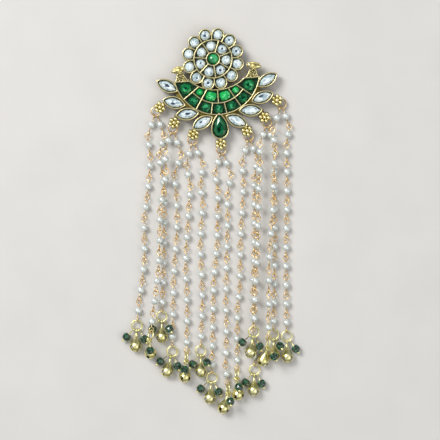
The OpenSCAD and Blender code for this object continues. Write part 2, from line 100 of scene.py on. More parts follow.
# Antiqued gilt brass, cast and tumbled: soft highlights, a fine pitted skin of about 0.12 mm, and
# olive patina that gathers low down, on the granulated necks, and in patches of about 1.5 mm.
hollow_height, rubbed_height = 2.8 * MM, 4.1 * MM
neck_foot, neck_face = 4.8 * MM, 4.95 * MM
antique_gilt, tree, shader, place = material("antiqued_gilt_brass", metallic=1.0)
height = add(tree, "ShaderNodeSeparateXYZ", {0: place}).outputs["Z"]
rubbed = add(tree, "ShaderNodeMapRange",
             {"Value": height, "From Min": hollow_height, "From Max": rubbed_height})
patches = add(tree, "ShaderNodeTexNoise", {"Vector": place, "Scale": grain(1.54), "Detail": 3})
kept = add(tree, "ShaderNodeMapRange",
           {"Value": height, "From Min": neck_foot, "From Max": neck_face, "To Max": -0.45})
high = add(tree, "ShaderNodeMath", {0: rubbed.outputs[0], 1: kept.outputs[0]}, {"operation": "ADD"})
wear = add(tree, "ShaderNodeMath", {0: high.outputs[0], 1: patches.outputs[0]},
           {"operation": "ADD"})
shade = add(tree, "ShaderNodeMath", {0: wear.outputs[0], 1: 0.5}, {"operation": "MULTIPLY"})
tone = add(tree, "ShaderNodeValToRGB", {0: shade.outputs[0]},
           stops=[(0.2, "#4d4522"), (0.4, "#958748"), (0.58, "#d8c980"), (0.8, "#f7eebb")])
tree.links.new(tone.outputs[0], shader.inputs["Base Color"])
dull = add(tree, "ShaderNodeMapRange", {"Value": shade.outputs[0], "To Min": 0.5, "To Max": 0.26})
tree.links.new(dull.outputs[0], shader.inputs["Roughness"])
pits = add(tree, "ShaderNodeTexNoise", {"Vector": place, "Scale": grain(0.125), "Detail": 2})
skin = add(tree, "ShaderNodeBump",
           {"Height": pits.outputs[0], "Strength": 0.25, "Distance": 0.04 * MM})
tree.links.new(skin.outputs[0], shader.inputs["Normal"])
dress("setting", antique_gilt)

# The wall tops.
# The top of each cell wall and bezel has been burnished over the stones, so it is a bright round
# bead of gold. They are drawn as wire laid along the walls' middle lines, in the head's own frame.
head_turn = math.radians(3.5)
rosette_offset = Vector((-1.1 * MM, 0, 0))
rosette_at = (rosette_offset.x / MM, 0)
low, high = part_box("centre_stone")
rosette_centre = (low + high) / 2
rosette_centre.z = 0
turned = Matrix.Rotation(head_turn, 4, "Z")
head = Matrix.Translation(rosette_centre - turned @ rosette_offset) @ turned
# Lengths without MM are millimetres in the head's own frame, and angles are degrees.
wall = 0.45
rim_radius = 0.25 * MM
rim_sink = 0.02 * MM
rosette_top, crescent_top, leaf_top = 5.1 * MM, 4.9 * MM, 4.7 * MM
lobes = 12
lobe_step = 360 / lobes
lobe_ring = 9.9
lobe_radius = 2.62
lobe_turn = 98
cusp_reach = lobe_ring + 0.2
row_wall = 7.6
cup_radius = 2.85
inner_stones = 7
inner_step = 360 / inner_stones
inner_start = 95
crescent_centre = Vector((0, -5.1))
crescent_radius = 17.4
hollow_centre = Vector((0, 4.1))
hollow_radius = 16.3
neck_line = -8.5
mid_wall = 12.6
long_walls = (-53, -31.8, 31.8, 53)
short_walls = (-10.6, 10.6)
leaf_half = Vector((4.8, 2.55))
leaves = [(20, -9.6, 29), (17.7, -16.4, 17.5), (12.7, -21.3, -2.5), (6.85, -25.1, -27.5)]
leaves += [(-x, y, 180 - a) for x, y, a in leaves]
pear_radius = 3.55
pear_tip = 7
pear_centre = Vector((0, -28.5))
neck_rims = [[(16.6, -8.4), (16, -7.2), (15.6, -5.3)], [(11.4, -8.4), (12.4, -7.1), (13.4, -5.3)]]


def polar(radius, angle, centre=(0, 0)):
    """The point at an angle in degrees on a circle."""
    a = math.radians(angle)
    return (centre[0] + radius * math.cos(a), centre[1] + radius * math.sin(a))


def arc(centre, radius, start, end, steps):
    """Points along an arc, both ends among them."""
    return [polar(radius, start + (end - start) * k / steps, centre) for k in range(steps + 1)]


def leaf_outline(inset, steps=12):
    """A pointed oval, where two equal circles overlap."""
    full = leaf_half.length_squared / (2 * leaf_half.y)
    radius = full - inset
    off = full - leaf_half.y
    half = math.degrees(math.acos(off / radius))
    upper = arc((0, -off), radius, 90 - half, 90 + half, steps)
    lower = arc((0, off), radius, 270 - half, 270 + half, steps)
    return upper[:-1] + lower[:-1]


def pear_outline(inset, steps=12):
    """A circle under a pointed arch."""
    full = (pear_tip ** 2 + pear_radius ** 2) / (2 * pear_radius)
    radius = full - inset
    off = full - pear_radius
    top = math.degrees(math.acos(off / radius))
    bowl = arc((0, 0), pear_radius - inset, 180, 360, steps)
    right = arc((-off, 0), radius, 0, top, steps // 2)
    left = arc((off, 0), radius, 180 - top, 180, steps // 2)
    return bowl[:-1] + right[:-1] + left[:-1]


def placed(points, centre, angle=0):
    """Points turned and moved to a place in the head."""
    a = math.radians(angle)
    return [(centre[0] + x * math.cos(a) - y * math.sin(a),
             centre[1] + x * math.sin(a) + y * math.cos(a)) for x, y in points]


def mirrored(points, side):
    """Points for the right of the head, or for the left where side is -1."""
    return [(side * x, y) for x, y in points]


def stand(name, data, finish=None):
    """Puts a mesh, lamp or lens in the scene under its name, with its finish."""
    if finish:
        data.materials.append(finish)
    made = bpy.data.objects.new(name, data)
    bpy.context.scene.collection.objects.link(made)
    return made


def hand_over(piece, slot, *nodes):
    """Hands a finished piece over, as standing for the CAD nodes that it replaces."""
    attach(piece, "root")
    if nodes:
        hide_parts(*nodes)


class Lines:
    """Polylines that a piece is swept along, collected as the edges of one mesh."""

    def __init__(self):
        self.points, self.edges = [], []

    def draw(self, points, closed=False):
        """Adds a line through the points."""
        first = len(self.points)
        self.points += points
        last = first + len(points) - 1
        self.edges += [(k, k + 1) for k in range(first, last)]
        if closed:
            self.edges.append((last, first))

    def made(self, name):
        """The lines as a piece."""
        data = bpy.data.meshes.new(name)
        data.from_pydata([tuple(p) for p in self.points], self.edges, [])
        return stand(name, data)


rims = Lines()


def rim(points, top, closed=False):
    """Lays a rim along points in the head, on a wall of that height."""
    rims.draw([head @ Vector((x * MM, y * MM, top - rim_sink)) for x, y in points], closed)


for k in range(lobes):
    middle = lobe_step * (k + 0.5)
    lobe = arc((0, 0), lobe_radius - wall / 2, -lobe_turn, lobe_turn, 16)
    rim(placed(placed(lobe, polar(lobe_ring, middle), middle), rosette_at), rosette_top)
    cusp = lobe_step * k
    rim(placed([polar(row_wall, cusp), polar(cusp_reach, cusp)], rosette_at), rosette_top)
for radius in (row_wall, cup_radius - wall / 2):
    rim(placed(arc((0, 0), radius, 0, 360, 48)[:-1], rosette_at), rosette_top, True)
for k in range(inner_stones):
    between = inner_start + inner_step * (k + 0.5)
    spoke = [polar(cup_radius - wall / 2, between), polar(row_wall, between)]
    rim(placed(spoke, rosette_at), rosette_top)

outer_edge = crescent_radius - wall / 2
inner_edge = hollow_radius + wall / 2
neck_edge = neck_line + wall / 2
outer_dip = math.degrees(math.asin((crescent_centre.y - neck_edge) / outer_edge))
inner_dip = math.degrees(math.asin((hollow_centre.y - neck_edge) / inner_edge))


def hollow_reach(angle):
    """From the crescent's centre to its upper edge, at an angle from straight down."""
    rise = hollow_centre.y - crescent_centre.y
    along = rise * math.cos(math.radians(angle))
    return -along + math.sqrt(along ** 2 - rise ** 2 + inner_edge ** 2)


def cell_wall(angle, near, far):
    """Lays a rim on the wall between two of the crescent's cells."""
    rim([polar(reach, angle - 90, crescent_centre) for reach in (near, far)], crescent_top)


rim(arc(crescent_centre, outer_edge, -outer_dip, -180 + outer_dip, 48), crescent_top)
rim(arc(hollow_centre, inner_edge, -inner_dip, -180 + inner_dip, 40), crescent_top)
for side in (-1, 1):
    rim([polar(inner_edge, -90 + side * (90 - inner_dip), hollow_centre),
         polar(outer_edge, -90 + side * (90 - outer_dip), crescent_centre)], crescent_top)
for angle in long_walls:
    cell_wall(angle, hollow_reach(angle), outer_edge)
for angle in short_walls:
    cell_wall(angle, mid_wall, outer_edge)
cell_wall(0, hollow_reach(0), mid_wall)
rim(arc(crescent_centre, mid_wall, long_walls[0] - 90, long_walls[-1] - 90, 32), crescent_top)
for x, y, angle in leaves:
    rim(placed(leaf_outline(wall / 2), (x, y), angle), leaf_top, True)
rim(placed(pear_outline(wall / 2), pear_centre), leaf_top, True)
for side in (-1, 1):
    for line in neck_rims:
        rim(mirrored(line, side), crescent_top)


def grove(name, sockets):
    """An empty tree of geometry nodes with named inputs, and its input and output nodes."""
    tree = bpy.data.node_groups.new(name, "GeometryNodeTree")
    tree.interface.new_socket("Geometry", in_out="INPUT", socket_type="NodeSocketGeometry")
    for label, kind in sockets:
        tree.interface.new_socket(label, in_out="INPUT", socket_type="NodeSocket" + kind)
    tree.interface.new_socket("Geometry", in_out="OUTPUT", socket_type="NodeSocketGeometry")
    return tree, add(tree, "NodeGroupInput"), add(tree, "NodeGroupOutput")


def grow(start, tree, name, **values):
    """The plain mesh that a tree grows from a starting object, which it uses up."""
    modifier = start.modifiers.new(tree.name, "NODES")
    modifier.node_group = tree
    for socket in tree.interface.items_tree:
        key = socket.name.lower().replace(" ", "_")
        if socket.in_out == "INPUT" and key in values:
            modifier[socket.identifier] = values[key]
    graph = bpy.context.evaluated_depsgraph_get()
    data = bpy.data.meshes.new_from_object(start.evaluated_get(graph),
                                           preserve_all_data_layers=True, depsgraph=graph)
    bpy.data.objects.remove(start)
    return stand(name, data)


wire_tree, given, result = grove("wire", [("Radius", "Float"), ("Sides", "Int"),
                                          ("Finish", "Material")])
path = add(wire_tree, "GeometryNodeMeshToCurve", {"Mesh": given.outputs["Geometry"]})
section = add(wire_tree, "GeometryNodeCurvePrimitiveCircle",
              {"Resolution": given.outputs["Sides"], "Radius": given.outputs["Radius"]})
swept = add(wire_tree, "GeometryNodeCurveToMesh",
            {"Curve": path.outputs[0], "Profile Curve": section.outputs[0], "Fill Caps": True})
smooth = add(wire_tree, "GeometryNodeSetShadeSmooth", {0: swept.outputs[0]})
finished = add(wire_tree, "GeometryNodeSetMaterial",
               {"Geometry": smooth.outputs[0], "Material": given.outputs["Finish"]})
wire_tree.links.new(finished.outputs[0], result.inputs[0])


def clouded(name, size, stops, detail=2, relief=None, skin=None, **values):
    """A material whose colour drifts in clouds so many millimetres across. Its relief, a strength
    and a depth, lies on the same clouds, or on a skin of its own size."""
    made, tree, shader, place = material(name, **values)
    cloud = add(tree, "ShaderNodeTexNoise",
                {"Vector": place, "Scale": grain(size), "Detail": detail})
    tone = add(tree, "ShaderNodeValToRGB", {0: cloud.outputs[0]}, stops=stops)
    tree.links.new(tone.outputs[0], shader.inputs["Base Color"])
    uneven = cloud
    if skin:
        uneven = add(tree, "ShaderNodeTexNoise",
                     {"Vector": place, "Scale": grain(skin), "Detail": 2})
    if relief:
        strength, depth = relief
        bump = add(tree, "ShaderNodeBump",
                   {"Height": uneven.outputs[0], "Strength": strength, "Distance": depth})
        tree.links.new(bump.outputs[0], shader.inputs["Normal"])
    return made


# Burnished gilt brass: the same metal rubbed bright, with faint patches of about 0.8 mm.
burnished = clouded("burnished_gilt_brass", 0.833, [(0.3, "#d3c58a"), (0.7, "#f1e7ba")],
                    metallic=1.0, roughness=0.32)
wall_tops = grow(rims.made("rims"), wire_tree, "wall_tops", radius=rim_radius, sides=8,
                 finish=burnished)
hand_over(wall_tops, "antique_gold")

# The beds of the stones.
# Each cell is filled under and round its stone with a dark slab, which shows as a dark ring round
# the stone: dark green under the green stones, and olive grey under the clear ones. It is glossy,
# and slightly uneven.
plate_top = 3.0 * MM
bed_top = plate_top + 0.55 * MM
bed_depth = 0.5 * MM
bed_inset = 0.2
scallop_turn = 70


def as_data(name, mesh):
    """What bmesh has built, as mesh data."""
    data = bpy.data.meshes.new(name)
    mesh.to_mesh(data)
    mesh.free()
    return data


def slab_of(outlines, name, finish, height, depth):
    """Flat-topped slabs, one for each outline in the head. With no depth they are plain faces."""
    mesh = bmesh.new()
    for points in outlines:
        mesh.faces.new([mesh.verts.new(head @ Vector((x * MM, y * MM, height))) for x, y in points])
    if depth:
        grown = bmesh.ops.extrude_face_region(mesh, geom=mesh.faces[:], use_keep_orig=True)["geom"]
        lowered = [part for part in grown if isinstance(part, bmesh.types.BMVert)]
        bmesh.ops.translate(mesh, verts=lowered, vec=(0, 0, -depth))
    bmesh.ops.triangulate(mesh, faces=mesh.faces[:])
    bmesh.ops.recalc_face_normals(mesh, faces=mesh.faces[:])
    return stand(name, as_data(name, mesh), finish)


scallops = []
for k in range(lobes):
    middle = lobe_step * (k + 0.5)
    scallop = arc((0, 0), lobe_radius - bed_inset, -scallop_turn, scallop_turn, 10)
    scallops += placed(scallop, polar(lobe_ring, middle), middle)
crescent_bed = arc(crescent_centre, crescent_radius - bed_inset, -outer_dip, -180 + outer_dip, 48)
crescent_bed += arc(hollow_centre, hollow_radius + bed_inset, -180 + inner_dip, -inner_dip, 40)
green_beds = [crescent_bed, placed(pear_outline(bed_inset), pear_centre)]
olive_beds = [placed(scallops, rosette_at)]
olive_beds += [placed(leaf_outline(bed_inset), (x, y), angle) for x, y, angle in leaves]

# Dark colour with a soft gloss, over clouds of about 1 mm that are slightly uneven too.
for outlines, name, dark, light in [(green_beds, "green_lac", "#04170d", "#125032"),
                                    (olive_beds, "olive_lac", "#16211a", "#55604a")]:
    cell_fill = clouded(name, 1.11, [(0.35, dark), (0.7, light)], detail=3, relief=(0.5, 0.2 * MM),
                  roughness=0.22, coat_weight=0.3)
    hand_over(slab_of(outlines, name + "_beds", cell_fill, bed_top, bed_depth), "antique_gold")

# The granulation on the peacock necks.
# Each neck is covered with tiny balls of gold, fused on close together. They are spread over the
# neck's face at a fixed seed.
neck = [(16.9, -8.4), (16.2, -7.2), (15.75, -5.4), (15.5, -4), (13.6, -4), (13.2, -5.4),
        (12.1, -7.1), (11, -8.4)]
neck_top = 4.9 * MM
granule_shade_rise = 0.02 * MM
granule_shade_depth = 0.2 * MM
granule_size = 0.3 * MM
granule_gap = 0.56 * MM
granule_seed = 4
granule_density = 2e7

grains_tree, given, result = grove("grains", [("Shape", "Object"), ("Gap", "Float"),
                                              ("Seed", "Int"), ("Finish", "Material")])
spread = add(grains_tree, "GeometryNodeDistributePointsOnFaces",
             {"Mesh": given.outputs["Geometry"], "Distance Min": given.outputs["Gap"],
              "Density Max": granule_density, "Seed": given.outputs["Seed"]},
             {"distribute_method": "POISSON"})
ball = add(grains_tree, "GeometryNodeObjectInfo", {"Object": given.outputs["Shape"]})
put = add(grains_tree, "GeometryNodeInstanceOnPoints",
          {"Points": spread.outputs["Points"], "Instance": ball.outputs["Geometry"]})
real = add(grains_tree, "GeometryNodeRealizeInstances", {0: put.outputs[0]})
finished = add(grains_tree, "GeometryNodeSetMaterial",
               {"Geometry": real.outputs[0], "Material": given.outputs["Finish"]})
grains_tree.links.new(finished.outputs[0], result.inputs[0])


def ball_shape(name, radius, levels):
    """A round ball that other pieces are made of. It isn't shown itself."""
    mesh = bmesh.new()
    bmesh.ops.create_icosphere(mesh, subdivisions=levels, radius=radius)
    for face in mesh.faces:
        face.smooth = True
    return bpy.data.objects.new(name, as_data(name, mesh))


# A dark olive brown sheet lies between the granules as painted shade, uneven at about 0.6 mm.
granule_shade = clouded("brass_patina", 0.625, [(0.3, "#34351a"), (0.7, "#6d6836")],
                 metallic=0.8, roughness=0.5)
necks = [mirrored(neck, side) for side in (-1, 1)]
hand_over(slab_of(necks, "neck_base", granule_shade, neck_top + granule_shade_rise, granule_shade_depth), "antique_gold")
neck_faces = slab_of(necks, "neck_faces", granule_shade, neck_top, 0)
neck_granules = grow(neck_faces, grains_tree, "neck_granules", gap=granule_gap, seed=granule_seed,
                     shape=ball_shape("granule", granule_size, 2), finish=burnished)
hand_over(neck_granules, "antique_gold")

# The peacocks' heads.
# Each head is cast in one with its beak and a knobbed crest. A bright brow runs from the crest over
# the head and along the beak. The heads keep the olive patina.
bird_head = Vector((14.8, -3.8, 3.7))
beak_dip = math.radians(4)
head_form = [(-1.56, 0), (-1.4, 0.68), (-1, 1.2), (-0.4, 1.5), (0.2, 1.56), (0.8, 1.42),
             (1.3, 1.15), (1.8, 0.92), (2.4, 0.72), (3, 0.5), (3.25, 0.25), (3.32, 0)]
crest_form = [(0, 0), (0.1, 0.9), (0.9, 0.92), (1.5, 1), (2.1, 0.94), (2.5, 0.6), (2.68, 0)]
crest_turn = 160
knobs = [(2.5, -0.5), (2.65, 0.15), (2.3, 0.75)]
knob_size = 0.38 * MM
brow = [(2.5, 0.85), (1.7, 1.15), (0.8, 1.5), (-0.3, 1.62), (-1.3, 1.4)]
brow_lift = 0.4
brow_size = 0.28 * MM


def on_bird(side, turn, u, v, w=0):
    """The point u along and v across a line at an angle from a bird's beak, and w above it."""
    a = math.radians(turn) - beak_dip
    x = bird_head.x + u * math.cos(a) - v * math.sin(a)
    y = bird_head.y + u * math.sin(a) + v * math.cos(a)
    return head @ (Vector((side * x, y, bird_head.z + w)) * MM)


def turned_form(mesh, side, turn, stations, around=20):
    """Adds a closed form of revolution about a line at an angle from a bird's beak."""
    rows = []
    for u, r in stations:
        turns = [2 * math.pi * k / around for k in range(around)]
        spots = [(r * math.cos(a), r * math.sin(a)) for a in turns] if r else [(0, 0)]
        rows.append([mesh.verts.new(on_bird(side, turn, u, v, w)) for v, w in spots])
    for near, far in zip(rows, rows[1:]):
        for k in range(around):
            after = (k + 1) % around
            if len(near) == 1:
                mesh.faces.new([near[0], far[k], far[after]])
            elif len(far) == 1:
                mesh.faces.new([near[k], near[after], far[0]])
            else:
                mesh.faces.new([near[k], near[after], far[after], far[k]])


birds, brows = bmesh.new(), Lines()
for side in (-1, 1):
    turned_form(birds, side, 0, head_form)
    turned_form(birds, side, crest_turn, crest_form)
    for u, v in knobs:
        at = Matrix.Translation(on_bird(side, crest_turn, u, v))
        bmesh.ops.create_icosphere(birds, subdivisions=2, radius=knob_size, matrix=at)
    brows.draw([on_bird(side, 0, u, v, brow_lift) for u, v in brow])
bmesh.ops.recalc_face_normals(birds, faces=birds.faces[:])
for face in birds.faces:
    face.smooth = True
hand_over(stand("bird_heads", as_data("bird_heads", birds), antique_gilt), "antique_gold")
bird_brows = grow(brows.made("brows"), wire_tree, "bird_brows", radius=brow_size, sides=8,
                  finish=burnished)
hand_over(bird_brows, "antique_gold")

# The stones.
# They are foil-backed glass, cut as brilliants: a table, stars, kites and girdle facets over a flat
# back. The foil's reflection in each facet is painted into its colour as one value of light, its
# glint, from painted shade to a painted highlight.
facet_pairs = 8
around_stone = 2 * facet_pairs
stone_foot = 3.1 * MM
foot_scale = 0.86
girdle_low, girdle_high = 0.4, 0.52
kite_scale, kite_high = 0.8, 0.83
table_scale = 0.6
rosette_stone_top, crescent_stone_top, leaf_stone_top = 5.25 * MM, 5.05 * MM, 4.85 * MM
rng = np.random.default_rng(11)


def face_outwards(data):
    """Turns the faces of a closed mesh outwards."""
    mesh = bmesh.new()
    mesh.from_mesh(data)
    bmesh.ops.recalc_face_normals(mesh, faces=mesh.faces[:])
    mesh.to_mesh(data)
    mesh.free()


class Stones:
    """Cut stones of one piece, built as faces that each have a glint, their light painted into
    their colour.
    """

    def __init__(self):
        self.verts, self.faces, self.glints = [], [], []

    def facet(self, points, glint):
        """Adds a facet between numbered corners."""
        self.faces.append(points)
        self.glints.append(min(1, max(0, glint)))

    def cut(self, outline, centre, angle, top, sparkle=1.0, dark_spot_chance=0.45):
        """Adds a stone over an outline of sixteen points. Its table may carry a painted dark spot,
        a painted reflection of the point at its back, and its sparkle is how far its facets'
        painted glints differ."""
        rise = top - stone_foot

        def ring(points, scale, high, aside=(0, 0)):
            """Adds a ring of corners at a part of the height, and gives its first number."""
            first = len(self.verts)
            moved = [(x * scale + aside[0], y * scale + aside[1]) for x, y in points]
            self.verts += [head @ Vector((x * MM, y * MM, stone_foot + high * rise))
                           for x, y in placed(moved, centre, angle)]
            return first

        n = around_stone
        foot = ring(outline, foot_scale, 0)
        ring(outline, 1, girdle_low)
        girdle = ring(outline, 1, girdle_high)
        aside = 0.3 * (rng.random(2) - 0.5) * outline[0][0]
        spot_scale = 0.2 + 0.15 * rng.random()
        mid = ring(outline[1::2], kite_scale, kite_high)
        table = ring(outline[0::2], table_scale, 1)
        spot = ring(outline[0::2], spot_scale, 1, aside)
        for row in (foot, foot + n):
            for k in range(n):
                a, b = row + k, row + (k + 1) % n
                self.facet([a, b, b + n, a + n], 0.35 + 0.3 * rng.random())
        self.facet([foot + k for k in range(n - 1, -1, -1)], 0.2)
        # Some stones get a painted dark spot in the middle of the table, the rest a painted bright
        # one.
        painted_dark_spot = rng.random() < dark_spot_chance
        for k in range(facet_pairs):
            after, before = (k + 1) % facet_pairs, (k - 1) % facet_pairs
            g0, g1, g2 = girdle + 2 * k, girdle + 2 * k + 1, girdle + (2 * k + 2) % n
            # Star facets that face one way across the head are painted lighter, as painted light
            # from that side.
            lit = 0.5 + 0.5 * math.sin(math.radians(angle + 45 * k) + 2.2)
            self.facet([table + k, mid + before, g0, mid + k],
                       0.3 + sparkle * (0.35 * lit + 0.4 * rng.random()))
            self.facet([table + k, mid + k, table + after], 0.2 + sparkle * 0.8 * rng.random())
            self.facet([mid + k, g0, g1], 0.15 + sparkle * 0.75 * rng.random())
            self.facet([mid + k, g1, g2], 0.15 + sparkle * 0.75 * rng.random())
            self.facet([table + k, table + after, spot + after, spot + k],
                       0.35 + sparkle * 0.65 * rng.random())
        self.facet([spot + k for k in range(facet_pairs)], 0.05 if painted_dark_spot else 0.85)

    def made(self, name, finish, slot, node):
        """The stones as a finished piece in the place of a CAD node."""
        data = bpy.data.meshes.new(name)
        data.from_pydata([tuple(v) for v in self.verts], [], self.faces)
        data.attributes.new("glint", "FLOAT", "FACE").data.foreach_set("value", self.glints)
        face_outwards(data)
        hand_over(stand(name, data, finish), slot, node)


def oval(a, b, squareness=1.0):
    """An oval, drawn out towards a cushion where squareness is below one."""
    def bent(value):
        return math.copysign(abs(value) ** squareness, value)
    turns = [2 * math.pi * k / around_stone for k in range(around_stone)]
    return [(a * bent(math.cos(turn)), b * bent(math.sin(turn))) for turn in turns]


haze_depth = 0.24


def foiled_glass(name, stops, roughness=0.08):
    """Polished lead glass over foil. The facets' glints, their painted light and shade, run through
    the given colours, and a haze of about 0.7 mm lies over them."""
    made, tree, shader, place = material(name, roughness=roughness, ior=1.6, coat_weight=0.6,
                                         coat_roughness=0.04)
    glint = add(tree, "ShaderNodeAttribute", settings={"attribute_name": "glint"})
    haze = add(tree, "ShaderNodeTexNoise", {"Vector": place, "Scale": grain(0.667), "Detail": 2})
    drift = add(tree, "ShaderNodeMath",
                {0: haze.outputs[0], 1: haze_depth, 2: glint.outputs["Fac"]},
                {"operation": "MULTIPLY_ADD"})
    level = add(tree, "ShaderNodeMath", {0: drift.outputs[0], 1: haze_depth / 2},
                {"operation": "SUBTRACT"})
    tone = add(tree, "ShaderNodeValToRGB", {0: level.outputs[0]}, stops=stops)
    tree.links.new(tone.outputs[0], shader.inputs["Base Color"])
    return made


# Clear glass over silver foil, deep green and emerald glass, and the bright green of the arc.
# Each ramp runs from painted shade at its dark end to a painted highlight at its light end.
clear_glass = foiled_glass("clear_glass_on_foil", [
    (0, "#2c3850"), (0.2, "#6f8798"), (0.5, "#b9ced6"), (0.75, "#e2eef1"), (1, "#f6fcfc")])
deep_glass = foiled_glass("deep_green_glass_on_foil", [
    (0, "#03140c"), (0.35, "#073d25"), (0.75, "#117044"), (1, "#5fd394")])
mid_glass = foiled_glass("emerald_glass_on_foil", [
    (0, "#042a18"), (0.35, "#065231"), (0.75, "#128a4c"), (1, "#7fe3a6")])
bright_glass = foiled_glass("bright_green_glass_on_foil", [
    (0, "#045a2c"), (0.3, "#0b9646"), (0.8, "#1fc264"), (1, "#a9f7c4")])

# The clear stones of the rosette's two rows.
outer_reach, outer_half = lobe_ring + 0.03, 1.95
outer_row = Stones()
for k in range(lobes):
    middle = lobe_step * (k + 0.5)
    x, y = polar(outer_reach, middle)
    outer_row.cut(oval(outer_half, outer_half), (x + rosette_at[0], y), middle, rosette_stone_top)
outer_row.made("outer_brilliants", clear_glass, "clear_stone", "outer_stones")

inner_reach, inner_half = 5.3, 1.9
inner_row = Stones()
for k in range(inner_stones):
    middle = inner_start + inner_step * k
    x, y = polar(inner_reach, middle)
    inner_row.cut(oval(inner_half, inner_half), (x + rosette_at[0], y), middle, rosette_stone_top)
inner_row.made("inner_brilliants", clear_glass, "clear_stone", "inner_stones")

# The centre stone alone is a low smooth dome of emerald glass, polished all over. Its colour is
# painted lighter towards the upper right, as painted light.
dome_half, dome_height, dome_fullness = 2.2, 2.15, 0.7
dome = bmesh.new()
bmesh.ops.create_uvsphere(dome, u_segments=40, v_segments=20, radius=1)
dome_middle = head @ Vector((rosette_at[0] * MM, 0, stone_foot))
for vert in dome.verts:
    x, y, z = vert.co
    swell = dome_height * max(0, z) ** dome_fullness
    vert.co = dome_middle + Vector((dome_half * x, dome_half * y, swell)) * MM
bmesh.ops.remove_doubles(dome, verts=dome.verts[:], dist=1e-6)
bmesh.ops.recalc_face_normals(dome, faces=dome.faces[:])
for face in dome.faces:
    face.smooth = face.normal.z > -0.5
emerald, tree, shader, place = material("emerald_glass_dome", roughness=0.1, ior=1.6,
                                        coat_weight=0.6, coat_roughness=0.04)
shifted = add(tree, "ShaderNodeMapping", {"Vector": place, "Location": dome_middle / -MM,
                                          "Scale": (1 / MM, 1 / MM, 1 / MM)})
parted = add(tree, "ShaderNodeSeparateXYZ", {0: shifted.outputs[0]})
# Painted light: the tone rises towards the upper right of the dome.
painted_light_slope = add(tree, "ShaderNodeMath", {0: parted.outputs["X"], 1: 0.13, 2: 0.42},
            {"operation": "MULTIPLY_ADD"})
painted_light_slope = add(tree, "ShaderNodeMath", {0: parted.outputs["Y"], 1: 0.1, 2: painted_light_slope.outputs[0]},
            {"operation": "MULTIPLY_ADD"})
cloud = add(tree, "ShaderNodeTexNoise", {"Vector": place, "Scale": grain(1.43), "Detail": 2})
level = add(tree, "ShaderNodeMath", {0: cloud.outputs[0], 1: 0.3, 2: painted_light_slope.outputs[0]},
            {"operation": "MULTIPLY_ADD"})
tone = add(tree, "ShaderNodeValToRGB", {0: level.outputs[0]},
           stops=[(0.25, "#07492d"), (0.6, "#12934f"), (0.95, "#4fcf8d")])
tree.links.new(tone.outputs[0], shader.inputs["Base Color"])
hand_over(stand("centre_dome", as_data("centre_dome", dome), emerald), "bright_green_stone",
          "centre_stone")

# The green stones of the crescent: one at each end, five in the outer row and four in the arc.
end_half, end_at, end_turn = 2.25, (12.6, -11.2), 20
for side, name in ((-1, "left"), (1, "right")):
    end = Stones()
    end.cut(oval(end_half, end_half), (side * end_at[0], end_at[1]), end_turn * side,
            crescent_stone_top, sparkle=0.8, dark_spot_chance=0.5)
    end.made("end_cut_stone_" + name, mid_glass, "dark_green_stone", "end_stone_" + name)

row_reach, row_half = 14.88, 1.95
for k, angle in enumerate((-41.4, -20.6, 0, 20.6, 41.4)):
    row = Stones()
    row.cut(oval(row_half, row_half), polar(row_reach, angle - 90, crescent_centre), angle - 90,
            crescent_stone_top, sparkle=0.85, dark_spot_chance=0.5)
    row.made(f"row_cut_stone_{k + 1}", deep_glass, "dark_green_stone", f"row_stone_{k + 1}")

arc_stones = [(-43, 10.55, 1.3, 1.3), (-16, 10.05, 2.15, 1.85), (16, 10.05, 2.15, 1.85),
              (43, 10.55, 1.3, 1.3)]
for k, (angle, reach, across, along) in enumerate(arc_stones):
    cushion = Stones()
    cushion.cut(oval(along, across, squareness=0.75), polar(reach, angle - 90, crescent_centre),
                angle - 90, crescent_stone_top, sparkle=0.9, dark_spot_chance=0)
    cushion.made(f"arc_cut_stone_{k + 1}", bright_glass, "bright_green_stone", f"arc_stone_{k + 1}")

# The clear marquise stones of the leaves, and the green pear between them.
marquise = leaf_outline(wall + 0.38, facet_pairs)
for k, (x, y, angle) in enumerate(leaves[4:] + leaves[3::-1]):
    leaf = Stones()
    leaf.cut(marquise, (x, y), angle, leaf_stone_top)
    leaf.made(f"marquise_{k + 1}", clear_glass, "clear_stone", f"leaf_stone_{k + 1}")

pear = Stones()
pear.cut(pear_outline(wall + 0.5, facet_pairs), pear_centre, 0, leaf_stone_top, sparkle=0.7,
         dark_spot_chance=1)
pear.made("pear_cut_stone", deep_glass, "dark_green_stone", "pear_stone")

# The hair pin.
# One strip of spring steel, folded on itself and tucked behind the crescent. It is drawn steel with
# fine lengthwise lines, set 0.14 mm apart so that they show.
spring_steel, tree, shader, place = material("drawn_spring_steel", metallic=1.0, roughness=0.32)
stretched = add(tree, "ShaderNodeMapping",
                {"Vector": place, "Scale": (grain(1.67), grain(0.143), grain(0.143))})
drawn = add(tree, "ShaderNodeTexNoise", {"Vector": stretched.outputs[0], "Scale": 1, "Detail": 2})
tone = add(tree, "ShaderNodeValToRGB", {0: drawn.outputs[0]},
           stops=[(0.3, "#7d7d78"), (0.7, "#aaa9a2")])
tree.links.new(tone.outputs[0], shader.inputs["Base Color"])
lines = add(tree, "ShaderNodeBump",
            {"Height": drawn.outputs[0], "Strength": 0.3, "Distance": 0.02 * MM})
tree.links.new(lines.outputs[0], shader.inputs["Normal"])
dress("hair_pin", spring_steel)

# The rings under the flowers.
# Round gold-filled copper wire, bent and closed. It has rubbed warm in patches of about 1 mm.
copper_gold = clouded("copper_gold_wire", 1, [(0.3, "#dbac62"), (0.7, "#f9e3b0")],
                      relief=(0.2, 0.05 * MM), metallic=1.0, roughness=0.3)
for k in range(7):
    dress(f"ring_{k + 1}", copper_gold)

# The strands.
# Each is a chain of seed pearls on pins of copper-gold wire, whose ends are bent to eyes and hooked
# together by hand. The pearls and eyes stand where the strand's solids do, and are read from them.
strands = 14
pearl_radius = 1.5 * MM
eye_radius = 1.0 * MM
pin_radius = 0.2 * MM
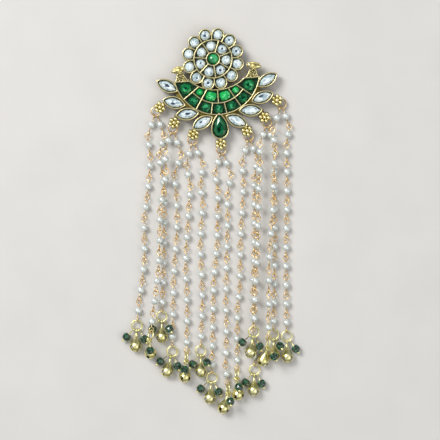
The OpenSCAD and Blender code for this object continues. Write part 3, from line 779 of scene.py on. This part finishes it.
# A pearl is a ball a little under its full size, so that its lumps, about 2.4 mm long, stay inside.
pearl_fill = 0.985
pearl_lumps = 420
pearl_unevenness = 0.07 * MM
pearl_drift = 0.014
eye_opening = 168
eye_step = 14
merge_distance = 1e-7


def islands(name):
    """The separate shells of a CAD node, each as its points, its faces' middles and areas, and its
    triangles."""
    mesh = bmesh.new()
    mesh.from_mesh(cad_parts[name].data)
    bmesh.ops.remove_doubles(mesh, verts=mesh.verts[:], dist=merge_distance)
    bmesh.ops.triangulate(mesh, faces=mesh.faces[:])
    mesh.verts.ensure_lookup_table()
    mesh.faces.index_update()
    seen, shells = set(), []
    for start in mesh.verts:
        if start.index in seen:
            continue
        seen.add(start.index)
        stack, members = [start], []
        while stack:
            vert = stack.pop()
            members.append(vert)
            for edge in vert.link_edges:
                other = edge.other_vert(vert)
                if other.index not in seen:
                    seen.add(other.index)
                    stack.append(other)
        faces = {face for vert in members for face in vert.link_faces}
        if not faces:
            continue
        faces = sorted(faces, key=lambda face: face.index)
        shells.append({"points": np.array([vert.co for vert in members]),
                       "middles": np.array([face.calc_center_median() for face in faces]),
                       "areas": np.array([face.calc_area() for face in faces]),
                       "triangles": [[tuple(vert.co) for vert in face.verts] for face in faces]})
    mesh.free()
    return shells


def axis_of(shell):
    """A shell's centroid and long axis, weighted by area, and its points' places along the axis."""
    weight = shell["areas"] / shell["areas"].sum()
    middle = weight @ shell["middles"]
    off = shell["middles"] - middle
    vectors = np.linalg.eigh((off * weight[:, None]).T @ off)[1]
    middle, axis = Vector(middle), Vector(vectors[:, 2])
    return middle, axis, (shell["points"] - np.array(middle)) @ np.array(axis)


def plane_of(points):
    """The normal of the plane that lies closest to some points."""
    off = points - points.mean(0)
    vectors = np.linalg.eigh(off.T @ off)[1]
    return Vector(vectors[:, 0])


scatter_tree, given, result = grove("scatter", [("Shape", "Object"), ("Unevenness", "Float"),
                                                ("Finish", "Material")])
aim = add(scatter_tree, "GeometryNodeInputNamedAttribute", {"Name": "aim"},
          {"data_type": "FLOAT_VECTOR"})
size = add(scatter_tree, "GeometryNodeInputNamedAttribute", {"Name": "size"},
           {"data_type": "FLOAT"})
along_aim = add(scatter_tree, "FunctionNodeAlignRotationToVector", {"Vector": aim.outputs[0]},
                {"axis": "Z"})
shown = add(scatter_tree, "GeometryNodeObjectInfo", {"Object": given.outputs["Shape"]})
put = add(scatter_tree, "GeometryNodeInstanceOnPoints",
          {"Points": given.outputs["Geometry"], "Instance": shown.outputs["Geometry"],
           "Rotation": along_aim.outputs[0], "Scale": size.outputs[0]})
real = add(scatter_tree, "GeometryNodeRealizeInstances", {0: put.outputs[0]})
lumps = add(scatter_tree, "ShaderNodeTexNoise", {"Scale": pearl_lumps, "Detail": 1})
lift = add(scatter_tree, "ShaderNodeMath", {0: lumps.outputs[0], 1: 0.5}, {"operation": "SUBTRACT"})
much = add(scatter_tree, "ShaderNodeMath", {0: lift.outputs[0], 1: given.outputs["Unevenness"]},
           {"operation": "MULTIPLY"})
outward = add(scatter_tree, "GeometryNodeInputNormal")
push = add(scatter_tree, "ShaderNodeVectorMath", {0: outward.outputs[0], "Scale": much.outputs[0]},
           {"operation": "SCALE"})
uneven = add(scatter_tree, "GeometryNodeSetPosition",
             {"Geometry": real.outputs[0], "Offset": push.outputs[0]})
finished = add(scatter_tree, "GeometryNodeSetMaterial",
               {"Geometry": uneven.outputs[0], "Material": given.outputs["Finish"]})
scatter_tree.links.new(finished.outputs[0], result.inputs[0])


def dotted(name, places):
    """Points that a shape is set on, each given as its place, its aim and its size."""
    data = bpy.data.meshes.new(name)
    data.from_pydata([tuple(p) for p, a, s in places], [], [])
    aims, sizes = [c for p, a, s in places for c in a], [s for p, a, s in places]
    data.attributes.new("aim", "FLOAT_VECTOR", "POINT").data.foreach_set("vector", aims)
    data.attributes.new("size", "FLOAT", "POINT").data.foreach_set("value", sizes)
    return stand(name, data)


def eye_line(eye, outward, normal, radius, stem):
    """The line of a wire that leaves a stem, runs once round an eye and ends beside the stem."""
    aside = normal.cross(outward).normalized()
    turn = [eye + radius * (math.cos(math.radians(a)) * outward + math.sin(math.radians(a)) * aside)
            for a in range(-eye_opening, eye_opening + 1, eye_step)]
    return [stem, eye - radius * 1.06 * outward - 0.02 * radius * aside] + turn


# Cultured seed pearl: cool white nacre with a satin lustre under a clear skin, and faint blotches
# of about 1.4 mm. The lustre mirrors softly, so it is set partly metallic.
nacre = clouded("cultured_pearl_nacre", 1.43,
                [(0.3, "#d0d8d4"), (0.55, "#e2e8e5"), (0.75, "#f4f7f5")],
                detail=3, relief=(0.12, 0.1 * MM), metallic=0.4, roughness=0.3, coat_weight=1.0,
                coat_roughness=0.06)
pearl_ball = ball_shape("pearl_ball", pearl_radius * pearl_fill, 3)
for number in range(1, strands + 1):
    node = f"strand_{number:02d}"
    pearls, wire = [], Lines()
    for shell in islands(node):
        middle, axis, reach = axis_of(shell)
        half = float(reach.max() - reach.min()) / 2 - eye_radius - pin_radius
        grown = 1 + pearl_drift * math.sin(7.3 * len(pearls) + 2.1 * number)
        pearls.append((middle, axis, grown))
        for side in (-1, 1):
            eye = middle + side * half * axis
            near = np.abs(reach - side * half) < eye_radius * 0.75
            wire.draw(eye_line(eye, side * axis, plane_of(shell["points"][near]), eye_radius,
                               middle + side * 0.9 * pearl_radius * axis))
    made = grow(dotted(node, pearls), scatter_tree, node + "_pearls", shape=pearl_ball,
                unevenness=pearl_unevenness, finish=nacre)
    hand_over(made, "pearl", node)
    made = grow(wire.made(node), wire_tree, node + "_wires", radius=pin_radius, sides=8,
                finish=copper_gold)
    hand_over(made, "copper_gold_wire", node)

# The drops.
# At the end of each strand a gold ring gathers a slit bell of thin brass and faceted green beads on
# ball-ended pins. They were strung on the ring before it was closed.
bead_distance = 4.0 * MM
bead_length = 2.8 * MM
bead_width = 3.4 * MM
bead_eye = 0.8 * MM
bead_wire = 0.2 * MM
bead_rows = [(-0.5, 0.3), (-0.34, 0.44), (0, 0.5), (0.34, 0.44), (0.5, 0.3)]
ball_radius = 0.6 * MM
ball_distance = bead_distance + bead_length / 2 + 0.7 * ball_radius
bell_radius = 2.4 * MM
bell_wall = 0.2 * MM
inside_slot = 1
ring_opening = 1.5 * MM
sharp_edge = math.radians(35)

# Bright yellow brass, plated and barely worn: lemon gold with faint warmer clouds of about 2 mm,
# and a skin of about 0.17 mm. The inside of the bells is painted dark brown, as painted shade in
# the hollow.
bright_brass = clouded("bright_yellow_brass", 2.08,
                       [(0.3, "#e6dc88"), (0.5, "#f3ebab"), (0.75, "#fcf8cc")],
                       detail=3, relief=(0.06, 0.02 * MM), skin=0.1667,
                       metallic=1.0, roughness=0.31)
hollow_shade = clouded("tarnished_brass", 1.11, [(0.3, "#1d170a"), (0.7, "#3f331b")],
                    metallic=1.0, roughness=0.6)
# Dark green crystal with polished facets, each with its light painted in as a glint.
bead_glass = foiled_glass("dark_green_crystal", [
    (0, "#03150c"), (0.45, "#0a3320"), (0.8, "#185a3c"), (1, "#5fae84")], 0.14)


def bead_shape(name, around=10):
    """A faceted bead along z: rows of points that step round by half a facet from row to row."""
    points, faces = [], [list(range(around)), list(range(5 * around - 1, 4 * around - 1, -1))]
    for row, (z, r) in enumerate(bead_rows):
        for k in range(around):
            x, y = polar(r * bead_width, 360 * (k + 0.5 * (row % 2)) / around)
            points.append((x, y, z * bead_length))
    for row in range(len(bead_rows) - 1):
        for k in range(around):
            a, b = row * around + k, row * around + (k + 1) % around
            c, d = a + around, b + around
            faces += [[a, b, d], [a, d, c]] if row % 2 else [[a, b, c], [b, d, c]]
    data = bpy.data.meshes.new(name)
    data.from_pydata(points, [], faces)
    # Each facet gets a painted glint at random, from painted shade to a painted highlight.
    glints = 0.1 + 0.85 * np.random.default_rng(5).random(len(faces)) ** 1.6
    data.attributes.new("glint", "FLOAT", "FACE").data.foreach_set("value", glints)
    face_outwards(data)
    return bpy.data.objects.new(name, data)


def shell_piece(name, shells, finish):
    """A piece with the exact shape of some CAD shells, smooth but for its sharp edges."""
    mesh = bmesh.new()
    for shell in shells:
        for triangle in shell["triangles"]:
            mesh.faces.new([mesh.verts.new(p) for p in triangle])
    bmesh.ops.remove_doubles(mesh, verts=mesh.verts[:], dist=merge_distance)
    for face in mesh.faces:
        face.smooth = True
    for line in mesh.edges:
        line.smooth = len(line.link_faces) == 2 and line.calc_face_angle(0) < sharp_edge
    return stand(name, as_data(name, mesh), finish)


def hung_axis(shell):
    """As axis_of, with the axis pointing from the hanging end to the heavy end."""
    middle, axis, reach = axis_of(shell)
    if reach.max() > -reach.min():
        axis, reach = -axis, -reach
    return middle, axis, reach


bead = bead_shape("bead")
head_ball = ball_shape("head_ball", ball_radius, 3)
for number in range(1, strands + 1):
    node = f"drop_{number:02d}"
    bell, *others = sorted(islands(node), key=lambda shell: -shell["areas"].sum())
    made = shell_piece(node + "_bell", [bell], bright_brass)
    made.data.materials.append(hollow_shade)
    middle, axis, reach = hung_axis(bell)
    body = middle + (float(reach.max()) - bell_radius) * axis
    # Faces inside the hollow take the dark brown painted shade.
    for face in made.data.polygons:
        if (face.center - body).length < bell_radius - bell_wall:
            face.material_index = inside_slot
    hand_over(made, "bell_brass", node)
    beads, balls, pins, loops = [], [], Lines(), []
    for shell in others:
        middle, axis, reach = hung_axis(shell)
        if np.linalg.norm(shell["points"] - np.array(middle), axis=1).min() > ring_opening:
            loops.append(shell)
            continue
        eye = middle + float(reach.min() + bead_eye + bead_wire) * axis
        near = reach < reach.min() + 2 * bead_eye
        pins.draw(eye_line(eye, -axis, plane_of(shell["points"][near]), bead_eye,
                           eye + ball_distance * axis))
        beads.append((eye + bead_distance * axis, axis, 1))
        balls.append((eye + ball_distance * axis, axis, 1))
    hand_over(shell_piece(node + "_ring", loops, bright_brass), "bell_brass", node)
    made = grow(pins.made(node), wire_tree, node + "_pins", radius=bead_wire, sides=8,
                finish=bright_brass)
    hand_over(made, "bell_brass", node)
    for spots, part, shape, finish, slot in [
            (balls, "_balls", head_ball, bright_brass, "bell_brass"),
            (beads, "_beads", bead, bead_glass, "dark_green_stone")]:
        made = grow(dotted(node, spots), scatter_tree, node + part, shape=shape, unevenness=0,
                    finish=finish)
        hand_over(made, slot, node)

# The floor, light and camera.
# A pale matt studio table, one large soft light over the left shoulder, a weaker one from the
# right, and the camera straight above. The table lies just under the brooch.
table_half = 1.5
table_gap = 0.02 * MM
table_top = bmesh.new()
bmesh.ops.create_grid(table_top, x_segments=1, y_segments=1, size=table_half)
bmesh.ops.translate(table_top, verts=table_top.verts[:], vec=(0, 0, -table_gap))
matt = clouded("matt_table", 25, [(0.3, "#d0cdc9"), (0.7, "#d4d1cd")], roughness=0.7)
stand("floor", as_data("floor", table_top), matt)


def soft_light(name, place, size, power):
    """A square area light that points at the brooch."""
    lamp = bpy.data.lights.new(name, "AREA")
    lamp.size = size
    lamp.energy = power
    made = stand(name, lamp)
    made.location = place
    made.rotation_euler = (-Vector(place)).to_track_quat("-Z", "Y").to_euler()


soft_light("window", (-0.5, 0.45, 0.8), 0.45, 8)
soft_light("bounce", (0.6, -0.3, 0.6), 0.6, 1.5)

# The room is bright over the table's edges and darker straight above, where the camera hangs.
world = bpy.data.worlds.new("studio")
world.use_nodes = True
tree = world.node_tree
direction = add(tree, "ShaderNodeTexCoord").outputs["Generated"]
rise = add(tree, "ShaderNodeSeparateXYZ", {0: direction}).outputs["Z"]
room = add(tree, "ShaderNodeValToRGB", {0: rise},
           stops=[(0, "#4a4c4e"), (0.4, "#85888a"), (0.75, "#eceeef"), (0.9, "#ffffff"),
                  (0.965, "#ffffff"), (0.985, "#55585a"), (1, "#2b2d2f")])
tree.links.new(room.outputs[0], tree.nodes["Background"].inputs["Color"])
tree.nodes["Background"].inputs["Strength"].default_value = 0.8
bpy.context.scene.world = world
bpy.context.scene.view_settings.view_transform = "Standard"

lens = bpy.data.cameras.new("camera")
lens.sensor_width = 36
lens.lens = 122.1
lens.clip_start = 0.01
camera = stand("camera", lens)
camera.location = (3.6 * MM, 0.5 * MM, 600 * MM)
bpy.context.scene.camera = camera
